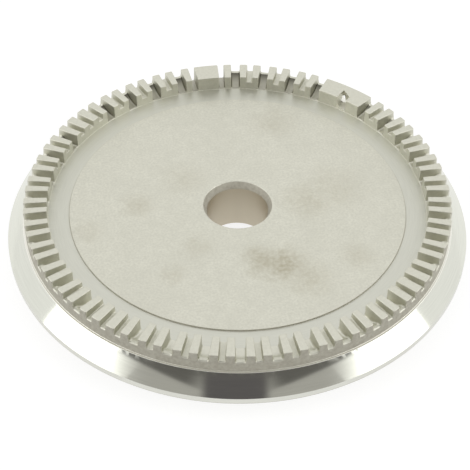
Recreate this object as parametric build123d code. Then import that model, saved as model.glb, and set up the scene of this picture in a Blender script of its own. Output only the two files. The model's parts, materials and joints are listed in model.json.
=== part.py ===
"""Gas burner head: one aluminium casting, turned and slotted.

A toothed flame crown stands round a shallow tray, a conical flange carries the crown,
and a short mixing tube goes through the middle. Millimetres, +Z up, with the origin at
the centre of the mixing tube's lower end, on which the head stands when it is taken off.
"""
import os
from math import cos, radians, sin

from build123d import *

# Flange: a flat seat below, an upright rim and a cone that rises to the crown's ledge
flange_diameter = 100.0
rim_height = 1.5
cone_height = 3.6
ledge_width = 0.4
seat_width = 7.0
rim_edge_bevel = 0.25

# Crown: the ring of teeth, with the flame slots between them
crown_outer_diameter = 92.0
crown_width = 5.0
crown_outer_height = 4.3
crown_inner_height = 3.4
crown_foot_bevel = 0.3

# Tray floor: a raised inner disc inside a turned ring
ring_width = 4.55
disc_step = 0.3
plate_thickness = 3.2

# Mixing tube and its bore
tube_length = 5.7
tube_outer_diameter = 18.4
tube_edge_bevel = 0.4
bore_diameter = 13.4
mouth_diameter = 15.0
mouth_depth = 1.5
recess_corner_bevel = 1.2

# Flame slots: wide main slots, with a narrower linking slot half way between them. The floor of a
# main slot is level at the tray and climbs in an arc to a sill at the outer wall. The two slots beside
# the plain block have no sill and fall outwards
main_slot_count = 40
main_slot_width = 2.1
main_slot_depth = 3.15
main_slot_level_run = 0.9
main_slot_arc_radius = 4.4
main_slot_corner_bevel = 0.4
sill_depth = 1.85
link_slot_width = 1.4
link_slot_inner_depth = 1.45
link_slot_outer_depth = 1.7
block_slot_outer_depth = 3.7

# Where the slots change, in degrees from +X: two solid blocks and three pan support fingers
ignition_block_angle = 45.0
ignition_block_reach = 6.0
plain_block_angle = 90.0
plain_block_reach = 2.0
plain_block_slot_reach = 6.0
support_angles = (135.0, 225.0, 315.0)

# Ignition port: a pocket in the ignition block, one side straight and one slanted, with a hole
# from its corner that slopes down outwards and turns a little to the straight side
pocket_straight_side = 0.55
pocket_slanted_side = 1.9
pocket_slant_run = 1.5
pocket_depth = 3.1
pocket_wall = 1.9
port_diameter = 1.9
port_slope = 25.0
port_turn = 15.0
port_drop = 2.35

# How far a cutting tool runs past the surface that it opens
overcut = 0.5

# Radii and heights that follow from the sizes above
flange_radius = flange_diameter / 2
crown_outer_radius = crown_outer_diameter / 2
crown_inner_radius = crown_outer_radius - crown_width
ledge_radius = crown_outer_radius + ledge_width
recess_radius = flange_radius - seat_width
disc_radius = crown_inner_radius - ring_width
tube_radius = tube_outer_diameter / 2
bore_radius = bore_diameter / 2
mouth_radius = mouth_diameter / 2

seat_z = tube_length
rim_top_z = seat_z + rim_height
ledge_z = rim_top_z + cone_height
tooth_top_z = ledge_z + crown_outer_height
ring_floor_z = tooth_top_z - crown_inner_height
disc_top_z = ring_floor_z + disc_step
recess_top_z = disc_top_z - plate_thickness


def turned_body():
    """The casting before its slots are cut: one half section turned about the tube's axis."""
    outline = Polyline(
        (bore_radius, 0),
        (tube_radius - tube_edge_bevel, 0),
        (tube_radius, tube_edge_bevel),
        (tube_radius, recess_top_z - recess_corner_bevel),
        (tube_radius + recess_corner_bevel, recess_top_z),
        (recess_radius - recess_corner_bevel, recess_top_z),
        (recess_radius, recess_top_z - recess_corner_bevel),
        (recess_radius, seat_z),
        (flange_radius - rim_edge_bevel, seat_z),
        (flange_radius, seat_z + rim_edge_bevel),
        (flange_radius, rim_top_z),
        (ledge_radius, ledge_z),
        (crown_outer_radius, ledge_z),
        (crown_outer_radius, tooth_top_z),
        (crown_inner_radius, tooth_top_z),
        (crown_inner_radius, ring_floor_z + crown_foot_bevel),
        (crown_inner_radius - crown_foot_bevel, ring_floor_z),
        (disc_radius, ring_floor_z),
        (disc_radius, disc_top_z),
        (mouth_radius, disc_top_z),
        (bore_radius, disc_top_z - mouth_depth),
        close=True,
    )
    section = make_face(Plane.XZ * outline)
    return revolve(section, Axis.Z)


def straight_cutter(width, inner_depth, outer_depth):
    """A cutter along +X over the crown, with a straight floor.

    The floor runs from inner_depth below the tooth tops at the crown's inner wall to
    outer_depth at the outer wall.
    """
    floor_start = Plane(
        origin=(crown_inner_radius, 0, tooth_top_z - inner_depth),
        x_dir=(0, 1, 0),
        z_dir=(crown_width, 0, inner_depth - outer_depth),
    )
    height = max(inner_depth, outer_depth) + overcut
    section = Rectangle(width, height, align=(Align.CENTER, Align.MIN))
    return extrude(floor_start.offset(-overcut) * section, amount=crown_width + 2 * overcut)


def climbing_cutter():
    """A cutter along +X from the tray, with a floor that climbs in a quarter circle."""
    start = crown_inner_radius - overcut
    arc_start = crown_inner_radius + main_slot_level_run
    arc_end = arc_start + main_slot_arc_radius
    floor_z = tooth_top_z - main_slot_depth
    top_z = floor_z + main_slot_arc_radius
    floor = Line((start, floor_z), (arc_start, floor_z))
    climb = TangentArc((arc_start, floor_z), (arc_end, top_z), tangent=(1, 0))
    back = Polyline((arc_end, top_z), (start, top_z), (start, floor_z))
    side_view = make_face(Plane.XZ * (floor + climb + back))
    cutter = extrude(side_view, amount=main_slot_width / 2, both=True)
    side_edges = cutter.edges().filter_by(lambda edge: abs(edge.center().Y) > main_slot_width / 4)
    lower_edges = side_edges.filter_by(lambda edge: edge.center().Z < tooth_top_z - sill_depth)
    return chamfer(lower_edges, main_slot_corner_bevel)


def degrees_apart(first, second):
    """The angle between two directions round the crown."""
    return abs((first - second + 180) % 360 - 180)


def flame_slots():
    """Every cutter round the crown, with the blocks left out and the special slots in place."""
    main_slot = [climbing_cutter(), straight_cutter(main_slot_width, sill_depth, sill_depth)]
    link_slot = [straight_cutter(link_slot_width, link_slot_inner_depth, link_slot_outer_depth)]
    block_slot = [straight_cutter(link_slot_width, main_slot_depth, block_slot_outer_depth)]
    half_pitch = 360 / main_slot_count / 2
    cutters = []
    for position in range(2 * main_slot_count):
        angle = position * half_pitch
        if degrees_apart(angle, ignition_block_angle) < ignition_block_reach:
            continue
        from_plain_block = degrees_apart(angle, plain_block_angle)
        if from_plain_block < plain_block_reach:
            continue
        under_support = any(degrees_apart(angle, finger) < half_pitch for finger in support_angles)
        if from_plain_block < plain_block_slot_reach:
            slot = block_slot
        elif position % 2 == 0 and not under_support:
            slot = main_slot
        else:
            slot = link_slot
        cutters += [Rot(0, 0, angle) * cutter for cutter in slot]
    return cutters


def ignition_port():
    """The pocket in the ignition block and the hole from its corner through the outer wall."""
    pocket_start = crown_inner_radius - overcut
    pocket_end = crown_outer_radius - pocket_wall
    outline = Polyline(
        (pocket_start, pocket_straight_side),
        (pocket_end, pocket_straight_side),
        (pocket_end - pocket_slant_run, -pocket_slanted_side),
        (pocket_start, -pocket_slanted_side),
        close=True,
    )
    pocket_floor = Plane.XY.offset(tooth_top_z - pocket_depth)
    pocket = extrude(pocket_floor * make_face(outline), amount=pocket_depth + overcut)

    slope, turn = radians(port_slope), radians(port_turn)
    hole_start = Plane(
        origin=(pocket_end, 0, tooth_top_z - port_drop),
        x_dir=(-sin(turn), cos(turn), 0),
        z_dir=(cos(slope) * cos(turn), cos(slope) * sin(turn), -sin(slope)),
    ).offset(-pocket_slant_run / 2)
    hole_run = pocket_slant_run / 2 + (pocket_wall + port_diameter) / cos(slope)
    hole = extrude(hole_start * Circle(port_diameter / 2), amount=hole_run)
    return [Rot(0, 0, ignition_block_angle) * cutter for cutter in (pocket, hole)]


def burner_head():
    """The finished casting."""
    return turned_body() - flame_slots() - ignition_port()


os.makedirs("parts", exist_ok=True)
head = burner_head()
head.label = "burner_head"
export_step(head, "parts/burner_head.step")
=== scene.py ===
# %% [markdown]
# # A gas burner head
# The head is one aluminium casting: a crown of teeth round a shallow tray, a polished cone
# below the crown, and a mixing tube through the middle. The solid model gives the true sizes,
# so this lesson first loads it and reads from it whatever it can, and only then adds the looks.

# %% Load the frame
import json
import math

import bmesh
import bpy
from mathutils import Matrix, Vector


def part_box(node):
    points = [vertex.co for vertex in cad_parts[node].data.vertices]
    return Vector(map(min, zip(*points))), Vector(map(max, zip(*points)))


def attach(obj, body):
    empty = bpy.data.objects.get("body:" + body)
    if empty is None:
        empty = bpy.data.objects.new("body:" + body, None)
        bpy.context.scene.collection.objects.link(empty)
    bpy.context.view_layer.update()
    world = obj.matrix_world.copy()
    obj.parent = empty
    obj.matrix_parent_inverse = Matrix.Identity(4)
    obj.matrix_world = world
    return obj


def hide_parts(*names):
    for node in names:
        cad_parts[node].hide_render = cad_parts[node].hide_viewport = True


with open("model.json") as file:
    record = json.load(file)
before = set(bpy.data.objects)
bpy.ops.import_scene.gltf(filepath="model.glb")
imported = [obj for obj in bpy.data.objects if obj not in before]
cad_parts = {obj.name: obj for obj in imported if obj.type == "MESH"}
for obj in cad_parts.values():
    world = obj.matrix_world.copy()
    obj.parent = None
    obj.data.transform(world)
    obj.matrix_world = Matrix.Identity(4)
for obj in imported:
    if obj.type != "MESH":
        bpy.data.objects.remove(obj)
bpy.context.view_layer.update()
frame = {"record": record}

MM = 0.001
node_low, node_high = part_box("burner_head")
mounts = {mount["name"]: mount for mount in frame["record"]["mounts"]}
scene = bpy.context.scene
scene.view_settings.view_transform = "Standard"
print("head:", [round(side / MM, 2) for side in node_high - node_low], "mm")

# %% [markdown]
# ## Sizes
# Everything is turned about one axis, so the sizes are radii and heights above the tube's lower
# end. The outer radius, the tooth tops, the bore, the tube and the seat come from the frame. The
# rest repeats the solid model's own values in millimetres.

# %% Radii and heights in millimetres
flange_radius = node_high.x / MM
tooth_top = node_high.z / MM
seat_height = mounts["flange_seat"]["pos_m"][2] / MM
bore_radius = mounts["mixing_bore"]["dims"]["r_mm"]
tube_radius = mounts["tube_spigot"]["dims"]["r_mm"]

rim_height, cone_height = 1.5, 3.6
tray_depth, disc_step, plate_thickness = 3.4, 0.3, 3.2
rim_top = seat_height + rim_height
ledge_height = rim_top + cone_height
ring_floor = tooth_top - tray_depth
disc_top = ring_floor + disc_step
recess_top = disc_top - plate_thickness

crown_outer = 46.0
crown_width, ledge_width, ring_width, seat_width = 5.0, 0.4, 4.55, 7.0
crown_inner = crown_outer - crown_width
ledge_radius = crown_outer + ledge_width
disc_radius = crown_inner - ring_width
recess_radius = flange_radius - seat_width

mouth_radius, mouth_depth = 7.5, 1.5
mouth_bottom = disc_top - mouth_depth
print("tooth tops", round(tooth_top, 2), "disc", round(disc_top, 2), "seat", round(seat_height, 2))

# %% [markdown]
# ## Flame slots
# Wide main slots and narrow linking slots take turns, eighty places in all. A main slot starts level
# at the tray and climbs in an arc, as a round cutter leaves it, to a low sill at the outer wall. Two
# places on the crown are solid blocks: one is plain, and one holds the ignition port. Under the three
# pan support fingers a narrow slot takes the place of a wide one, to keep the flame off the iron.
# Eighty boolean cuts would be slow and leave long thin faces, so the slots are only listed here, and
# the mesh is then built round them.

# %% List every slot
MAIN_DEPTH = 3.15
SILL_DEPTH = 1.85
LEVEL_RUN = 0.9
ARC_RADIUS = 4.4
ARC_STEPS = 7
# Depths below the tooth tops, at the crown's inner and outer wall
LINK_DEPTHS = (1.45, 1.70)
BLOCK_DEPTHS = (MAIN_DEPTH, 3.70)


def climbing_floor():
    """Stations along a main slot's floor, from the tray to the outer wall: (radius, depth)."""
    arc_start = crown_inner + LEVEL_RUN
    whole_turn = math.acos(1 - (MAIN_DEPTH - SILL_DEPTH) / ARC_RADIUS)
    stations = [(crown_inner, MAIN_DEPTH)]
    for step in range(ARC_STEPS + 1):
        turn = whole_turn * step / ARC_STEPS
        climb = ARC_RADIUS * (1 - math.cos(turn))
        stations.append((arc_start + ARC_RADIUS * math.sin(turn), MAIN_DEPTH - climb))
    return stations + [(crown_outer, SILL_DEPTH)]


def straight_floor(depths):
    """The two stations of a floor without an arc."""
    return list(zip((crown_inner, crown_outer), depths))


# The first strips of a floor, counted from the tray, have the finish of the saw cut
wide = {"half_width": 1.05, "corner": 0.45}
narrow = {"half_width": 0.70, "corner": 0.25}
main_slot = {**wide, "floor": climbing_floor(), "cut_strips": ARC_STEPS + 1}
link_slot = {**narrow, "floor": straight_floor(LINK_DEPTHS), "cut_strips": 0}
block_slot = {**narrow, "floor": straight_floor(BLOCK_DEPTHS), "cut_strips": 1}

slot_places = 80
ignition_angle = 45.0
plain_angle = 90.0
support_angles = (135.0, 225.0, 315.0)


def degrees_apart(first, second):
    return abs((first - second + 180) % 360 - 180)


def slot_at(place):
    """The slot cut at one of the eighty places, or None on a block.

    The ignition block fills its own place and the two beside it, the plain block only its own.
    """
    pitch = 360 / slot_places
    own_place, with_neighbours = 0.5 * pitch, 1.5 * pitch
    angle = place * pitch
    from_plain = degrees_apart(angle, plain_angle)
    if degrees_apart(angle, ignition_angle) < with_neighbours or from_plain < own_place:
        return None
    if from_plain < with_neighbours:
        return {"angle": angle, **block_slot}
    under_support = any(degrees_apart(angle, finger) < own_place for finger in support_angles)
    kind = main_slot if place % 2 == 0 and not under_support else link_slot
    return {"angle": angle, **kind}


slots = [slot for slot in map(slot_at, range(slot_places)) if slot]
print("slots:", len(slots))

# %% [markdown]
# ## Columns round the crown
# The mesh is a polar grid: rings that follow the turned profile, and columns that run from the bore
# to the rim. A column sits on every slot wall and on every step of a slot's rounded floor, so the
# slots come out as clean quads with no boolean cut. Slot walls are parallel, so a column's angle
# differs a little between the crown's inner and outer wall.

# %% Work out the columns
CORNER_STEPS = 4
TOOTH_STEP_DEG = 1.2


def floor_section(slot):
    """Points across a slot's floor: (sideways offset, lift above the floor)."""
    half, corner = slot["half_width"], slot["corner"]
    left = []
    for step in range(CORNER_STEPS + 1):
        turn = math.radians(180 + 90 * step / CORNER_STEPS)
        left.append((-half + corner + corner * math.cos(turn), corner + corner * math.sin(turn)))
    return left + [(-offset, lift) for offset, lift in reversed(left)]


def slot_columns(slot):
    """Columns across one slot; each one's floor is a list of (radius, angle, height)."""
    columns = []
    points = floor_section(slot)
    for index, (offset, lift) in enumerate(points):
        floor = [
            (radius, math.radians(slot["angle"]) + math.asin(offset / radius), tooth_top - depth + lift)
            for radius, depth in slot["floor"]
        ]
        columns.append({
            "inner": floor[0][1],
            "outer": floor[-1][1],
            "floor": floor,
            "tall": index in (0, len(points) - 1),
            "cut_strips": slot["cut_strips"],
        })
    return columns


def tooth_columns(before, after):
    """Columns on a tooth's top, between the last wall of one slot and the first of the next."""
    full_turn = 2 * math.pi
    inner_span = (after["inner"] - before["inner"]) % full_turn
    outer_span = (after["outer"] - before["outer"]) % full_turn
    steps = max(2, math.ceil(math.degrees(inner_span) / TOOTH_STEP_DEG))
    return [
        {
            "inner": before["inner"] + inner_span * step / steps,
            "outer": before["outer"] + outer_span * step / steps,
            "floor": None,
            "tall": True,
        }
        for step in range(1, steps)
    ]


in_slots = [slot_columns(slot) for slot in slots]
columns = []
for index, own in enumerate(in_slots):
    following = in_slots[(index + 1) % len(in_slots)]
    columns += own + tooth_columns(own[-1], following[0])
print("columns:", len(columns))

# %% [markdown]
# ## Finishes and rounded corners
# The casting is one metal, but each of its surfaces was made in another way, so each run of the profile
# names its finish. A small function rounds the corners, because a real casting has no knife edges and
# the rounding is what catches the light. The polished cone bulges a little, as a buffing wheel leaves
# it, and so it mirrors a taller strip of the room than a true cone would.

# %% Name the finishes and round a half section
finishes = (
    "blasted_cast_aluminium",
    "dark_step_aluminium",
    "turned_aluminium",
    "cast_aluminium_crown",
    "dull_cast_aluminium_wall",
    "saw_cut_aluminium",
    "polished_aluminium",
    "satin_turned_aluminium",
    "as_cast_aluminium",
    "drilled_aluminium",
    "pale_ledge_and_painted_port_light",
)
(BLASTED, DARK_STEP, TURNED, CROWN, WALL, SLOT, POLISHED, RIM, UNDERSIDE, BORE,
 PALE_LEDGE_AND_PORT_LIGHT) = range(len(finishes))


def rounded(corners, steps=4):
    """Corners are (radius, height, rounding, zone); the zone is that of the rounding and the next run."""
    points = [(*corners[0][:2], corners[0][3])]
    for before, corner, after in zip(corners, corners[1:], corners[2:]):
        middle = Vector(corner[:2])
        rounding, zone = corner[2], corner[3]
        if rounding == 0:
            points.append((middle.x, middle.y, zone))
            continue
        to_before = (Vector(before[:2]) - middle).normalized()
        to_after = (Vector(after[:2]) - middle).normalized()
        half_angle = to_before.angle(to_after) / 2
        reach = rounding / math.tan(half_angle)
        centre = middle + (to_before + to_after).normalized() * (rounding / math.sin(half_angle))
        start = middle + to_before * reach - centre
        turn = start.angle_signed(middle + to_after * reach - centre)
        for step in range(steps + 1):
            spoke = start.copy()
            spoke.rotate(Matrix.Rotation(-turn * step / steps, 2))
            points.append((centre.x + spoke.x, centre.y + spoke.y, zone))
    points.append((*corners[-1][:2], corners[-1][3]))
    return points


def bulged(first, last, bulge, zone, steps=6):
    """Points between two corners, on a shallow arc to the right of the way from first to last."""
    start, end = Vector(first), Vector(last)
    outward = Vector((start.y - end.y, end.x - start.x)).normalized()
    points = []
    for step in range(1, steps):
        share = step / steps
        point = start.lerp(end, share) + outward * bulge * 4 * share * (1 - share)
        points.append((point.x, point.y, 0, zone))
    return points


print("finishes:", len(finishes))

# %% [markdown]
# ## The turned profile
# The rings come from two half sections: one from the tube's end up the bore and over the tray to the
# crown's foot, and one from the ledge outside the crown over the cone and rim and back underneath. The
# wide flat runs have a few rings more, only so that no face gets very long.

# %% Draw the two half sections
DARK_STEP_WIDTH = 0.12
LEDGE_EDGE = 0.06
CONE_BULGE = 0.07
FOOT_RISE = 0.11
WALL_RISE = 0.14
disc_rings = (12.0, 20.0, 28.0)
ring_middle = 38.5
recess_rings = (32.0, 20.0)

tray_profile = rounded([
    (bore_radius, 0.0, 0, BORE),
    (bore_radius, mouth_bottom, 0.3, WALL),
    (mouth_radius, disc_top, 0.25, BLASTED),
    *((radius, disc_top, 0, BLASTED) for radius in disc_rings),
    # The step round the disc gets a thin line of darker, duller metal
    (disc_radius, disc_top, 0.08, DARK_STEP),
    (disc_radius, ring_floor, 0.05, DARK_STEP),
    (disc_radius + DARK_STEP_WIDTH, ring_floor, 0, TURNED),
    (ring_middle, ring_floor, 0, TURNED),
    (crown_inner, ring_floor, 0.1, CROWN),
    (crown_inner, ring_floor + FOOT_RISE, 0, CROWN),
])
outer_profile = rounded([
    (crown_outer, ledge_height + WALL_RISE, 0, WALL),
    (crown_outer, ledge_height, 0.08, PALE_LEDGE_AND_PORT_LIGHT),
    (ledge_radius, ledge_height, 0.15, PALE_LEDGE_AND_PORT_LIGHT),
    (ledge_radius + LEDGE_EDGE, ledge_height - LEDGE_EDGE, 0, POLISHED),
    *bulged((ledge_radius, ledge_height), (flange_radius, rim_top), CONE_BULGE, POLISHED),
    (flange_radius, rim_top, 0.12, RIM),
    (flange_radius, seat_height, 0.25, UNDERSIDE),
    (recess_radius, seat_height, 0.2, UNDERSIDE),
    (recess_radius, recess_top, 1.2, UNDERSIDE),
    *((radius, recess_top, 0, UNDERSIDE) for radius in recess_rings),
    (tube_radius, recess_top, 1.2, UNDERSIDE),
    (tube_radius, 0.0, 0.4, UNDERSIDE),
    (bore_radius, 0.0, 0, BORE),
])
print("rings:", len(tray_profile) + len(outer_profile) - 1)

# %% [markdown]
# ## Rings
# Each point of the profile becomes a ring with one vertex on every column, and faces join each ring to
# the next. A Screw modifier could turn the profile too, but it would space its columns evenly, and here
# they must meet the slots.

# %% Make the rings
ON_THE_WALL = 0.001


def polar(radius, angle, height):
    """A point in metres, from a radius, an angle and a height in millimetres."""
    return Vector((radius * math.cos(angle), radius * math.sin(angle), height)) * MM


def make_ring(mesh, radius, height):
    """One ring; up to the crown's inner wall it takes the columns' inner angles."""
    side = "inner" if radius <= crown_inner + ON_THE_WALL else "outer"
    return [mesh.verts.new(polar(radius, column[side], height)) for column in columns]


def add_face(mesh, corners, zone):
    """One face; a corner that its column doesn't have is None and left out."""
    face = mesh.faces.new([corner for corner in corners if corner])
    face.material_index = zone
    face.smooth = True


def skin_rings(mesh, rings, profile):
    for (near, far), (_, _, zone) in zip(zip(rings, rings[1:]), profile):
        for index in range(len(columns)):
            nxt = (index + 1) % len(columns)
            add_face(mesh, (near[index], near[nxt], far[nxt], far[index]), zone)


grid = bmesh.new()
tray_rings = [make_ring(grid, radius, height) for radius, height, _ in tray_profile]
outer_rings = [make_ring(grid, radius, height) for radius, height, _ in outer_profile[:-1]]
outer_rings.append(tray_rings[0])
skin_rings(grid, tray_rings, tray_profile)
skin_rings(grid, outer_rings, outer_profile)
print("faces between the rings:", len(grid.faces))

# %% [markdown]
# ## Teeth and slots
# The crown fills the gap between its foot in the tray and the ledge outside. Its upright faces carry
# the floor points of the slots beside them, so the mesh stays closed. Edges that a cutter left sharp
# get a bevel weight, and a Bevel modifier rounds them later. Flames and cleaning have worn the outer
# lips of the slots the most, so these have the widest rounding.

# %% Make the teeth and the slots
LIP_ROUNDING = 0.35
EDGE_ROUNDING = 0.16
FOOT_ROUNDING = 0.18


def crown_points(mesh):
    """Each column's floor points, and its tops at the inner and outer wall, where it has them."""
    floors, tops = [], []
    for column in columns:
        floors.append([mesh.verts.new(polar(*point)) for point in column["floor"] or []])
        ends = (crown_inner, column["inner"]), (crown_outer, column["outer"])
        tops.append([mesh.verts.new(polar(*end, tooth_top)) if column["tall"] else None for end in ends])
    return floors, tops


def make_crown(mesh, foot, ledge):
    """The teeth and slots; gives back the edges to round, as (first, second, rounding)."""
    floors, tops = crown_points(mesh)
    round_edges = []
    for index, column in enumerate(columns):
        nxt = (index + 1) % len(columns)
        own, other = floors[index], floors[nxt]
        (own_in, own_out), (other_in, other_out) = tops[index], tops[nxt]
        if own and other:
            for station in range(len(own) - 1):
                strip = own[station], other[station], other[station + 1], own[station + 1]
                add_face(mesh, strip, SLOT if station < column["cut_strips"] else CROWN)
            add_face(mesh, (foot[index], foot[nxt], other[0], own[0]), CROWN)
            add_face(mesh, (own[-1], other[-1], ledge[nxt], ledge[index]), WALL)
            round_edges += [(own[0], other[0], FOOT_ROUNDING), (own[-1], other[-1], LIP_ROUNDING)]
            if len(own) > 2:
                round_edges.append((own[-2], other[-2], FOOT_ROUNDING))
        else:
            add_face(mesh, (own_in, other_in, other_out, own_out), CROWN)
            in_floor, in_other = (own or [None])[0], (other or [None])[0]
            out_floor, out_other = (own or [None])[-1], (other or [None])[-1]
            add_face(mesh, (foot[index], foot[nxt], in_other, other_in, own_in, in_floor), CROWN)
            add_face(mesh, (own_out, other_out, out_other, ledge[nxt], ledge[index], out_floor), WALL)
            round_edges += [(own_in, other_in, EDGE_ROUNDING), (own_out, other_out, EDGE_ROUNDING)]
        if own and column["tall"]:
            add_face(mesh, (*own, own_out, own_in), CROWN)
            round_edges += [
                (own[0], own_in, EDGE_ROUNDING),
                (own[-1], own_out, LIP_ROUNDING),
                (own_in, own_out, EDGE_ROUNDING),
            ]
    return round_edges


edges_to_round = make_crown(grid, tray_rings[-1], outer_rings[0])
weight = grid.edges.layers.float.new("bevel_weight_edge")
for first, second, rounding in edges_to_round:
    grid.edges.get((first, second))[weight] = rounding / LIP_ROUNDING
print("edges to round:", len(edges_to_round))

# %% [markdown]
# ## One object
# The head is one casting, so the grid becomes one object with a material slot for every finish. The
# materials are dressed further down. An edge that doesn't lie between two faces would be a hole.

# %% Put the casting together
bmesh.ops.recalc_face_normals(grid, faces=grid.faces)
head_mesh = bpy.data.meshes.new("burner_head_casting")
for finish in finishes:
    head_mesh.materials.append(bpy.data.materials.new(finish))
grid.to_mesh(head_mesh)
open_edges = sum(1 for edge in grid.edges if not edge.is_manifold)
grid.free()
head = bpy.data.objects.new("burner_head_casting", head_mesh)
scene.collection.objects.link(head)
print("faces:", len(head_mesh.polygons), "open edges:", open_edges)

# %% [markdown]
# ## The ignition port
# The ignition block has a pocket that is open to the tray, with one straight side and a slanted end,
# and a sloping hole from its corner through the outer wall. It is the one place that a polar grid
# can't follow, so two small cutters will take it out. A cut face takes the cutter's material: here a
# nearly white one, which paints in the light that falls into the pocket and the hole.

# %% Make the cutters
pocket = {"straight_side": 0.55, "slanted_side": 1.9, "slant_run": 1.5, "depth": 3.1, "wall": 1.9}
port = {"radius": 0.95, "slope": 25.0, "turn": 15.0, "drop": 2.35, "sides": 40}
OVERCUT = 0.5
pocket_end = crown_outer - pocket["wall"]


def cutter_object(name, mesh):
    mesh_data = bpy.data.meshes.new(name)
    bmesh.ops.recalc_face_normals(mesh, faces=mesh.faces)
    for face in mesh.faces:
        # The cut faces are nearly white: painted light, where light falls into the pocket and the hole
        face.material_index = PALE_LEDGE_AND_PORT_LIGHT
    mesh.to_mesh(mesh_data)
    mesh.free()
    made = bpy.data.objects.new(name, mesh_data)
    made.rotation_euler.z = math.radians(ignition_angle)
    scene.collection.objects.link(made)
    return made


def pocket_cutter():
    start = crown_inner - OVERCUT
    outline = [
        (start, pocket["straight_side"]),
        (pocket_end, pocket["straight_side"]),
        (pocket_end - pocket["slant_run"], -pocket["slanted_side"]),
        (start, -pocket["slanted_side"]),
    ]
    mesh = bmesh.new()
    base = [mesh.verts.new(Vector((x, y, tooth_top - pocket["depth"])) * MM) for x, y in outline]
    floor = mesh.faces.new(base)
    lifted = bmesh.ops.extrude_face_region(mesh, geom=[floor])["geom"]
    raised = [item for item in lifted if isinstance(item, bmesh.types.BMVert)]
    bmesh.ops.translate(mesh, verts=raised, vec=Vector((0, 0, pocket["depth"] + OVERCUT)) * MM)
    return cutter_object("pocket_cutter", mesh)


def port_cutter():
    slope, turn = math.radians(port["slope"]), math.radians(port["turn"])
    axis = Vector((math.cos(slope) * math.cos(turn), math.cos(slope) * math.sin(turn), -math.sin(slope)))
    before = pocket["slant_run"] / 2
    after = (pocket["wall"] + 2 * port["radius"]) / math.cos(slope)
    middle = Vector((pocket_end, 0, tooth_top - port["drop"])) + axis * (after - before) / 2
    mesh = bmesh.new()
    bmesh.ops.create_cone(
        mesh, cap_ends=True, segments=port["sides"], depth=(before + after) * MM,
        radius1=port["radius"] * MM, radius2=port["radius"] * MM,
    )
    place = Matrix.Translation(middle * MM) @ axis.to_track_quat("Z", "Y").to_matrix().to_4x4()
    bmesh.ops.transform(mesh, matrix=place, verts=mesh.verts)
    return cutter_object("port_cutter", mesh)


cutters = [pocket_cutter(), port_cutter()]
print("cutters:", [cutter.name for cutter in cutters])

# %% [markdown]
# ## Round, cut and shade
# A Bevel modifier rounds the edges by their weights, and Boolean modifiers take the port out. Both are
# applied at once, and the cutters are deleted. The long flat faces beside narrow roundings would shade
# like cushions, so a Weighted Normal modifier follows and lets the big faces set the normals.

# %% Apply the modifiers
BEVEL_STEPS = 3
SHARP_DEG = 32


def apply_modifiers(keep_layers):
    """Gives the head a plain mesh, as its modifiers leave it."""
    bpy.context.view_layer.update()
    graph = bpy.context.evaluated_depsgraph_get()
    mesh = bpy.data.meshes.new_from_object(
        head.evaluated_get(graph), preserve_all_data_layers=keep_layers, depsgraph=graph)
    head.modifiers.clear()
    head.data = mesh
    return mesh


bevel = head.modifiers.new("cut edges", "BEVEL")
bevel.limit_method = "WEIGHT"
bevel.width = LIP_ROUNDING * MM
bevel.segments = BEVEL_STEPS
bevel.use_clamp_overlap = False
for cutter in cutters:
    cut = head.modifiers.new(cutter.name, "BOOLEAN")
    cut.operation = "DIFFERENCE"
    cut.solver = "EXACT"
    cut.object = cutter
finished = apply_modifiers(keep_layers=False)
for cutter in cutters:
    bpy.data.objects.remove(cutter)
finished.shade_smooth()
finished.set_sharp_from_angle(angle=math.radians(SHARP_DEG))

even_normals = head.modifiers.new("flat faces stay flat", "WEIGHTED_NORMAL")
even_normals.keep_sharp = True
shaded = apply_modifiers(keep_layers=True)
print("faces after the cuts:", len(shaded.polygons))

# %% [markdown]
# ## True round faces
# The columns stand closer together at the slots, and that makes the shading of the turned faces waver.
# A mirror shows it at once. A turned face has no sideways slope anywhere, so the sideways part of each
# of its normals is taken out.

# %% Straighten the normals of the turned faces
turned_zones = {BLASTED, DARK_STEP, TURNED, POLISHED, RIM, UNDERSIDE, BORE}
normals = [corner.vector.copy() for corner in shaded.corner_normals]
straightened = 0
for face in shaded.polygons:
    if face.material_index not in turned_zones:
        continue
    for corner in face.loop_indices:
        place = shaded.vertices[shaded.loops[corner].vertex_index].co
        sideways = Vector((-place.y, place.x, 0)).normalized()
        normals[corner] -= sideways * normals[corner].dot(sideways)
        normals[corner].normalize()
        straightened += 1
shaded.normals_split_custom_set(normals)
print("normals straightened:", straightened)

# %% [markdown]
# ## Colours and nodes
# The casting is aluminium all over, and what differs is how each surface was made. The disc was
# blasted, the ring was turned, the cone was polished and the underside is as it came from the mould.
# Colours are written as sRGB hex values and turned to linear in one place, and one function adds a
# node, sets it and links it.

# %% Helpers for colours and nodes
def linear(hex_colour):
    """An sRGB hex value as a linear RGBA colour."""
    parts = [int(hex_colour[index:index + 2], 16) / 255 for index in (1, 3, 5)]
    light = [part / 12.92 if part <= 0.04045 else ((part + 0.055) / 1.055) ** 2.4 for part in parts]
    return [*light, 1.0]


def add_node(tree, kind, settings=None, **links):
    """One node, with its settings, and its inputs linked or set by name, or by number as _0, _1."""
    node = tree.nodes.new(kind)
    for name, value in (settings or {}).items():
        setattr(node, name, value)
    for name, value in links.items():
        socket = node.inputs[int(name[1:]) if name[1:].isdigit() else name.replace("_", " ")]
        if isinstance(value, bpy.types.NodeSocket):
            tree.links.new(value, socket)
        else:
            socket.default_value = value
    return node


def dress_metal(finish, colour, roughness, metallic=1.0):
    """Makes one of the head's materials a plain metal, and returns its node tree and its shader."""
    material = bpy.data.materials[finish]
    material.use_nodes = True
    shader = material.node_tree.nodes["Principled BSDF"]
    shader.inputs["Metallic"].default_value = metallic
    shader.inputs["Base Color"].default_value = linear(colour)
    shader.inputs["Roughness"].default_value = roughness
    return material.node_tree, shader


print("middle grey in linear light:", round(linear("#808080")[0], 3))

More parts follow.
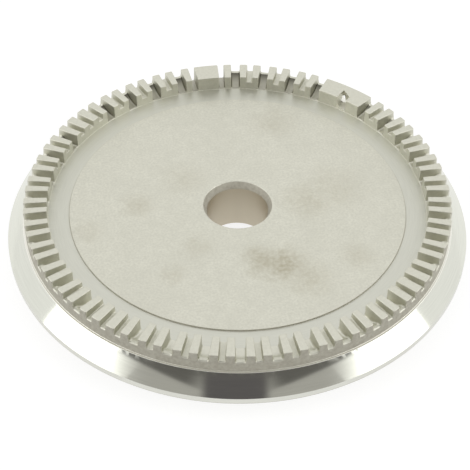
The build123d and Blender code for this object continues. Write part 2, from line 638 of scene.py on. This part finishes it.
# %% [markdown]
# ## Patterns in millimetres
# Cast and worn metal is never one colour. Soft patches of noise lay slightly darker tones over the base
# colour, and finer noise makes bumps. The grain of blasting and the marks of a lathe are about 0.1 mm
# wide, too fine to show at this size, so all the fine patterns are drawn two to five times as coarse.

# %% Helpers for patterns
PATCH_LOW, PATCH_HIGH = 0.35, 0.7
FINE_DETAIL = 3.0


def in_mm(tree):
    """Places on the head in millimetres, so that a pattern's scale is one over its real size."""
    place = add_node(tree, "ShaderNodeTexCoord").outputs["Object"]
    return add_node(tree, "ShaderNodeVectorMath", {"operation": "SCALE"},
                    Vector=place, Scale=1 / MM).outputs[0]


def patches(tree, places, size, amount):
    """A share between 0 and amount that comes and goes in soft patches of a size in millimetres."""
    noise = add_node(tree, "ShaderNodeTexNoise", Vector=places, Scale=1 / size, Detail=FINE_DETAIL)
    return add_node(tree, "ShaderNodeMapRange", Value=noise.outputs["Fac"],
                    From_Min=PATCH_LOW, From_Max=PATCH_HIGH, To_Max=amount).outputs[0]


def paint(tree, shader, *layers):
    """Lays colours over the shader's base colour; a layer is the share that it covers and its colour."""
    shown = shader.inputs["Base Color"].default_value
    for share, colour in layers:
        mix = add_node(tree, "ShaderNodeMix", {"data_type": "RGBA"},
                       _0=share, _6=shown, _7=linear(colour))
        shown = mix.outputs[2]
    tree.links.new(shown, shader.inputs["Base Color"])


def roughen(tree, shader, size, height):
    """Fine bumps, with their size and height in millimetres."""
    noise = add_node(tree, "ShaderNodeTexNoise", Vector=in_mm(tree), Scale=1 / size, Detail=FINE_DETAIL)
    bump = add_node(tree, "ShaderNodeBump", Distance=height * MM, Height=noise.outputs["Fac"])
    tree.links.new(bump.outputs[0], shader.inputs["Normal"])


print("patches fade between noise values", PATCH_LOW, "and", PATCH_HIGH)

# %% [markdown]
# ## Stains
# Boiled-over food has left faint stains on the disc. An image could hold them, but each one is only a
# spot with a place, a reach and a strength. Coarse noise pushes the spots' edges about, so that they look
# spilled and not stamped, and fine noise breaks them up over the grain of the casting.

# %% List the stains
STAIN_DRIFT = 7.0
STAIN_EDGE = 4.0
STAIN_GRAIN = 0.9
stains = (
    {"at": (2.4, -17.8), "reach": 6.5, "share": 0.85},
    {"at": (6.5, -19.8), "reach": 7.5, "share": 0.95},
    {"at": (10.5, -24.0), "reach": 7.5, "share": 0.5},
    {"at": (-21.6, 3.1), "reach": 5.0, "share": 0.45},
    {"at": (-10.3, -11.8), "reach": 5.0, "share": 0.3},
    {"at": (-16.6, -19.0), "reach": 3.5, "share": 0.35},
    {"at": (22.1, -19.5), "reach": 5.5, "share": 0.35},
    {"at": (-33.0, -3.6), "reach": 5.0, "share": 0.25},
    {"at": (15.3, -1.0), "reach": 8.0, "share": 0.4},
    {"at": (22.0, 2.0), "reach": 10.0, "share": 0.3},
    {"at": (13.0, 26.3), "reach": 8.0, "share": 0.3},
    {"at": (-10.5, 9.9), "reach": 7.0, "share": 0.25},
)


def stained(tree, places):
    """The share of every point on the disc that the stains cover."""
    noise = add_node(tree, "ShaderNodeTexNoise", Vector=places, Scale=1 / STAIN_EDGE,
                     Detail=6.0, Roughness=0.65)
    pushed = add_node(tree, "ShaderNodeVectorMath", {"operation": "MULTIPLY_ADD"},
                      _0=noise.outputs["Color"], _1=(STAIN_DRIFT, STAIN_DRIFT, 0), _2=places).outputs[0]
    covered = 0.0
    for stain in stains:
        centre = [along + STAIN_DRIFT / 2 for along in stain["at"]] + [disc_top]
        away = add_node(tree, "ShaderNodeVectorMath", {"operation": "DISTANCE"}, _0=pushed, _1=centre)
        share = add_node(tree, "ShaderNodeMapRange", {"interpolation_type": "SMOOTHSTEP"},
                         Value=away.outputs["Value"], From_Max=stain["reach"],
                         To_Min=stain["share"], To_Max=0.0).outputs[0]
        covered = add_node(tree, "ShaderNodeMath", {"operation": "MAXIMUM"},
                           _0=covered, _1=share).outputs[0]
    grain = add_node(tree, "ShaderNodeTexNoise", Vector=places, Scale=1 / STAIN_GRAIN, Detail=4.0)
    broken = add_node(tree, "ShaderNodeMapRange", Value=grain.outputs["Fac"],
                      From_Min=0.3, From_Max=0.65, To_Min=0.35, To_Max=1.0).outputs[0]
    return add_node(tree, "ShaderNodeMath", {"operation": "MULTIPLY"}, _0=covered, _1=broken).outputs[0]


print("stains:", len(stains))

# %% [markdown]
# ## The disc
# The disc in the tray was blasted and has gone a soft, slightly yellow grey. It is a metal with a middling
# roughness and no clear reflections. The step round it is drawn as a thin line of darker, duller metal.

# %% Dress the disc
# Blasted casting: a matt, cloudy grey with a fine grain
tree, shader = dress_metal("blasted_cast_aluminium", "#dddccf", 0.5)
places = in_mm(tree)
paint(tree, shader,
      (patches(tree, places, 8.0, 0.5), "#d2d1c4"),
      (patches(tree, places, 2.0, 0.4), "#d0cfc2"),
      (patches(tree, places, 0.5, 0.6), "#c8c7ba"),
      (stained(tree, places), "#b2ac97"))
roughen(tree, shader, 0.3, 0.006)

# The step round the disc: darker and duller still, so that the line stays dark from all sides
dress_metal("dark_step_aluminium", "#cccabe", 0.7)
print("nodes in the disc's material:", len(tree.nodes))

# %% [markdown]
# ## The ring and the crown
# The ring round the disc was turned on a lathe, and its marks run round the axis. To draw them, the noise
# gets the radius less the height as one of its coordinates and only a small turn of the heading as the
# others. The crown was cast and has a fine grain. Its outer wall, and the mouth of the bore, have dulled
# to oxide, which is no metal, so their finish is only half metallic.

# %% Dress the ring and the crown
def round_marks(tree, pitch, amount, run=2.0):
    """Marks drawn out round the axis, as a lathe or a polishing wheel leaves them."""
    along = add_node(tree, "ShaderNodeSeparateXYZ", Vector=in_mm(tree)).outputs
    level = add_node(tree, "ShaderNodeCombineXYZ", X=along["X"], Y=along["Y"]).outputs[0]
    radius = add_node(tree, "ShaderNodeVectorMath", {"operation": "LENGTH"}, _0=level).outputs["Value"]
    heading = add_node(tree, "ShaderNodeVectorMath", {"operation": "NORMALIZE"}, _0=level).outputs[0]
    across = add_node(tree, "ShaderNodeMath", {"operation": "SUBTRACT"}, _0=radius, _1=along["Z"])
    lifted = add_node(tree, "ShaderNodeCombineXYZ", Z=across.outputs[0]).outputs[0]
    drawn_out = add_node(tree, "ShaderNodeVectorMath", {"operation": "MULTIPLY_ADD"},
                         _0=heading, _1=(run, run, 0), _2=lifted).outputs[0]
    return patches(tree, drawn_out, pitch, amount)


# Turned ring: the same grey as the disc, with faint marks round it
tree, shader = dress_metal("turned_aluminium", "#d4d4c9", 0.48)
paint(tree, shader, (round_marks(tree, 0.25, 0.4), "#c8c8bd"))

# Cast crown: an even, slightly grainy grey
tree, shader = dress_metal("cast_aluminium_crown", "#d8d7ca", 0.5)
paint(tree, shader, (patches(tree, in_mm(tree), 0.6, 0.45), "#c9c8ba"))
roughen(tree, shader, 0.35, 0.01)

# Oxide on the outer wall: darker and blotched, with hardly a reflection
tree, shader = dress_metal("dull_cast_aluminium_wall", "#c8c5b8", 0.7, metallic=0.5)
paint(tree, shader, (patches(tree, in_mm(tree), 0.7, 0.6), "#aca798"))
roughen(tree, shader, 0.4, 0.03)
print("half metallic:", shader.inputs["Metallic"].default_value)

# %% [markdown]
# ## The slot floors
# The cutter left the floors of the slots smoother than the crown. In the photograph the floors at the back
# are dark, most of all high up under the sill, because they mirror a dark room. A dark card in front of
# them would also darken the disc, so a tint that fades in towards the back does it.

# %% Dress the slot floors
TINT_STARTS, TINT_FULL = 8.0, 40.0
# Saw cut: a soft sheen, light in front and dark at the back
tree, shader = dress_metal("saw_cut_aluminium", "#d8d7ca", 0.42)
along = add_node(tree, "ShaderNodeSeparateXYZ", Vector=in_mm(tree)).outputs
behind = add_node(tree, "ShaderNodeMapRange", {"interpolation_type": "SMOOTHSTEP"},
                  Value=along["Y"], From_Min=TINT_STARTS, From_Max=TINT_FULL).outputs[0]
climbed = add_node(tree, "ShaderNodeMapRange", Value=along["Z"],
                   From_Min=tooth_top - MAIN_DEPTH, From_Max=tooth_top - SILL_DEPTH).outputs[0]
under_sill = add_node(tree, "ShaderNodeMath", {"operation": "MULTIPLY"},
                      _0=climbed, _1=behind).outputs[0]
paint(tree, shader, (behind, "#b1afa2"), (under_sill, "#656359"))
print("slot floors darken from", TINT_STARTS, "to", TINT_FULL, "mm behind the middle")

# %% [markdown]
# ## The cone, the rim and the parts out of sight
# The cone was polished, so it works as a mirror with faint marks round it. The rim below it is only
# satin. The bore was drilled and has browned a little in the heat. The ledge above the cone and the
# ignition port are nearly white, the brightest on the head; in the port this is painted light, for the
# light that falls into the hole. The underside is plain casting.

# %% Dress the cone, the rim, the bore and the underside
# Polished cone: a mirror that is a little drawn out
tree, shader = dress_metal("polished_aluminium", "#dedfd5", 0.09)
paint(tree, shader, (round_marks(tree, 0.3, 0.5), "#d3d4ca"))

# Satin rim: a soft band of light
tree, shader = dress_metal("satin_turned_aluminium", "#d9d9d1", 0.3)
paint(tree, shader, (round_marks(tree, 0.2, 0.4), "#cbcbc3"))

# Casting as it left the mould: grey, blotched and rough
tree, shader = dress_metal("as_cast_aluminium", "#c0beb4", 0.6)
paint(tree, shader, (patches(tree, in_mm(tree), 1.2, 0.5), "#aeaca1"))
roughen(tree, shader, 0.5, 0.03)

# Drilled bore: warm and even. Ledge and port: nearly white, and in the port this is painted light
dress_metal("drilled_aluminium", "#cbc3b1", 0.5)
dress_metal("pale_ledge_and_painted_port_light", "#f2f1e8", 0.4)
print("materials on the head:", len(head.data.materials))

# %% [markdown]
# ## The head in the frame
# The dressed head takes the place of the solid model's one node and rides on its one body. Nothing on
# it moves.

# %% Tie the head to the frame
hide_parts("burner_head")
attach(head, "root")
print("tied:", head.name)

# %% [markdown]
# ## Floor and surround
# The head lies on a big pale floor in a white surround. Both look white to the camera and in the metal,
# but they light the head more softly than that: Light Path tells the two kinds of ray apart. The floor
# is matt below its glow, so it still shows the head's shadow.

# %% Make the floor and the surround
SURROUND_LIGHT = 0.6
FLOOR_GLOW = 0.8
FLOOR_SIDE = 3000


def flat_sheet(name, width, height):
    """A named flat rectangle in the scene, with an empty material, and that material's node tree."""
    mesh = bmesh.new()
    bmesh.ops.create_grid(mesh, x_segments=1, y_segments=1, size=0.5)
    bmesh.ops.scale(mesh, vec=(width * MM, height * MM, 1), verts=mesh.verts)
    data = bpy.data.meshes.new(name)
    mesh.to_mesh(data)
    mesh.free()
    material = bpy.data.materials.new(name)
    material.use_nodes = True
    material.node_tree.nodes.clear()
    data.materials.append(material)
    sheet = bpy.data.objects.new(name, data)
    scene.collection.objects.link(sheet)
    return sheet, material.node_tree


def seen_directly(tree):
    """1 for rays from the camera, from metal and through glass, 0 for the rest."""
    rays = add_node(tree, "ShaderNodeLightPath").outputs
    either = add_node(tree, "ShaderNodeMath", {"operation": "MAXIMUM"},
                      _0=rays["Is Camera Ray"], _1=rays["Is Glossy Ray"])
    return add_node(tree, "ShaderNodeMath", {"operation": "MAXIMUM"},
                    _0=either.outputs[0], _1=rays["Is Transmission Ray"]).outputs[0]


def white_surround():
    world = bpy.data.worlds.new("white_surround")
    scene.world = world
    world.use_nodes = True
    tree = world.node_tree
    tree.nodes.clear()
    strength = add_node(tree, "ShaderNodeMapRange", Value=seen_directly(tree),
                        To_Min=SURROUND_LIGHT, To_Max=1.0)
    glow = add_node(tree, "ShaderNodeBackground", Color=linear("#ffffff"), Strength=strength.outputs[0])
    add_node(tree, "ShaderNodeOutputWorld", Surface=glow.outputs[0])


def pale_floor():
    floor, tree = flat_sheet("pale_floor", FLOOR_SIDE, FLOOR_SIDE)
    floor.location.z = node_low.z
    matt = add_node(tree, "ShaderNodeBsdfDiffuse", Color=linear("#9a9a99"))
    strength = add_node(tree, "ShaderNodeMath", {"operation": "MULTIPLY"},
                        _0=seen_directly(tree), _1=FLOOR_GLOW)
    glow = add_node(tree, "ShaderNodeEmission", Color=linear("#ffffff"), Strength=strength.outputs[0])
    both = add_node(tree, "ShaderNodeAddShader", _0=matt.outputs[0], _1=glow.outputs[0])
    add_node(tree, "ShaderNodeOutputMaterial", Surface=both.outputs[0])


white_surround()
pale_floor()
print("surround lights at", SURROUND_LIGHT, "and the floor glows at", FLOOR_GLOW)

# %% [markdown]
# ## What the polish mirrors
# Polished metal shows what stands round it. In front of the cone that is the grey front of a studio, a
# dark strip on the camera's side and the dark edge of the ceiling above. Each is a plain card with soft
# sides that only reflections see, so it takes no light from the disc.

# %% Put up the cards
CAMERA_AZIMUTH = -10.22
# Sizes in millimetres; a fade is the share of each half that thins out, across and along the card;
# "at" is the azimuth from the camera's side, the elevation and the distance
cards = (
    {"name": "grey_studio_front", "size": (800, 330), "colour": "#b8b6b3",
     "fades": (0.57, 0.5), "at": (0, 30, 290)},
    {"name": "dark_camera_side", "size": (134, 330), "colour": "#656264",
     "fades": (0.28, 0.3), "at": (0, 30, 280)},
    {"name": "dark_studio_ceiling", "size": (220, 112), "colour": "#706e6c",
     "fades": (0.3, 0.1), "at": (0, 49, 250)},
    {"name": "dark_ceiling_left", "size": (240, 112), "colour": "#6a6866",
     "fades": (0.5, 0.1), "at": (-38, 43, 255)},
    {"name": "dark_ceiling_right", "size": (240, 112), "colour": "#6a6866",
     "fades": (0.5, 0.1), "at": (38, 43, 255)},
)


def place_facing(thing, azimuth, elevation, distance):
    """Puts a thing on a sphere round the disc, with its -Z towards the disc's middle."""
    turn = math.radians(azimuth + CAMERA_AZIMUTH)
    lift = math.radians(elevation)
    back = Vector((math.sin(turn) * math.cos(lift), -math.cos(turn) * math.cos(lift), math.sin(lift)))
    thing.location = Vector((0, 0, disc_top * MM)) + back * distance * MM
    thing.rotation_euler = back.to_track_quat("Z", "Y").to_euler()


def reflected_card(card):
    sheet, tree = flat_sheet(card["name"], *card["size"])
    place = add_node(tree, "ShaderNodeTexCoord").outputs["Object"]
    along = add_node(tree, "ShaderNodeSeparateXYZ", Vector=place).outputs
    shown = 1.0
    for axis, length, fade in zip("XY", card["size"], card["fades"]):
        half = length * MM / 2
        from_middle = add_node(tree, "ShaderNodeMath", {"operation": "ABSOLUTE"}, _0=along[axis])
        inside = add_node(tree, "ShaderNodeMapRange", {"interpolation_type": "SMOOTHSTEP"},
                          Value=from_middle.outputs[0], From_Min=half * (1 - fade), From_Max=half,
                          To_Min=1.0, To_Max=0.0)
        shown = add_node(tree, "ShaderNodeMath", {"operation": "MULTIPLY"},
                         _0=shown, _1=inside.outputs[0]).outputs[0]
    clear = add_node(tree, "ShaderNodeBsdfTransparent")
    glow = add_node(tree, "ShaderNodeEmission", Color=linear(card["colour"]), Strength=1.0)
    both = add_node(tree, "ShaderNodeMixShader", _0=shown, _1=clear.outputs[0], _2=glow.outputs[0])
    add_node(tree, "ShaderNodeOutputMaterial", Surface=both.outputs[0])
    sheet.visible_camera = False
    sheet.visible_diffuse = False
    sheet.visible_shadow = False
    return sheet


for card in cards:
    place_facing(reflected_card(card), *card["at"])
print("cards:", len(cards))

# %% [markdown]
# ## Lamps
# Two big soft boxes stand left and right of the camera. They light the head evenly from both sides, and
# the cone mirrors them as its two white patches. They are tall enough for the patches to reach from the
# ledge to the rim.

# %% Put up the lamps
LAMP_SIZE = (300, 340)
LAMP_POWER = 0.4
LAMP_AZIMUTH, LAMP_ELEVATION, LAMP_DISTANCE = 67, 29, 420


def soft_lamp(name, side):
    data = bpy.data.lights.new(name, "AREA")
    data.shape = "RECTANGLE"
    data.size, data.size_y = (length * MM for length in LAMP_SIZE)
    data.energy = LAMP_POWER
    lamp = bpy.data.objects.new(name, data)
    scene.collection.objects.link(lamp)
    place_facing(lamp, side * LAMP_AZIMUTH, LAMP_ELEVATION, LAMP_DISTANCE)
    return lamp


lamps = [soft_lamp("softbox", side) for side in (-1, 1)]
print("lamps:", len(lamps))

# %% [markdown]
# ## Camera
# The photograph looks down on the head at 43 degrees, from a little over a quarter of a metre. The lens
# was found from the circles of the flange, the crown, the disc and the bore, which all show as ellipses.

# %% Set the camera
CAMERA_DISTANCE = 287.5
CAMERA_ELEVATION = 43.006
AIM_BELOW_CENTRE = 1.3325
AIM_LEFT = 0.1356
ROLL = 0.6317
FOCAL_PIXELS = 1322.5
FRAME_PIXELS = 470

camera_data = bpy.data.cameras.new("camera")
camera_data.sensor_width = 36.0
camera_data.lens = FOCAL_PIXELS / FRAME_PIXELS * camera_data.sensor_width
camera = bpy.data.objects.new("camera", camera_data)
scene.collection.objects.link(camera)
place_facing(camera, 0, CAMERA_ELEVATION, CAMERA_DISTANCE)
turn = Matrix.Rotation(math.radians(CAMERA_AZIMUTH + AIM_LEFT), 4, "Z")
pitch = Matrix.Rotation(math.radians(90 - CAMERA_ELEVATION - AIM_BELOW_CENTRE), 4, "X")
roll = Matrix.Rotation(math.radians(ROLL), 4, "Z")
camera.matrix_world = Matrix.Translation(camera.location) @ turn @ pitch @ roll
scene.camera = camera
print("lens:", round(camera_data.lens, 1), "mm")
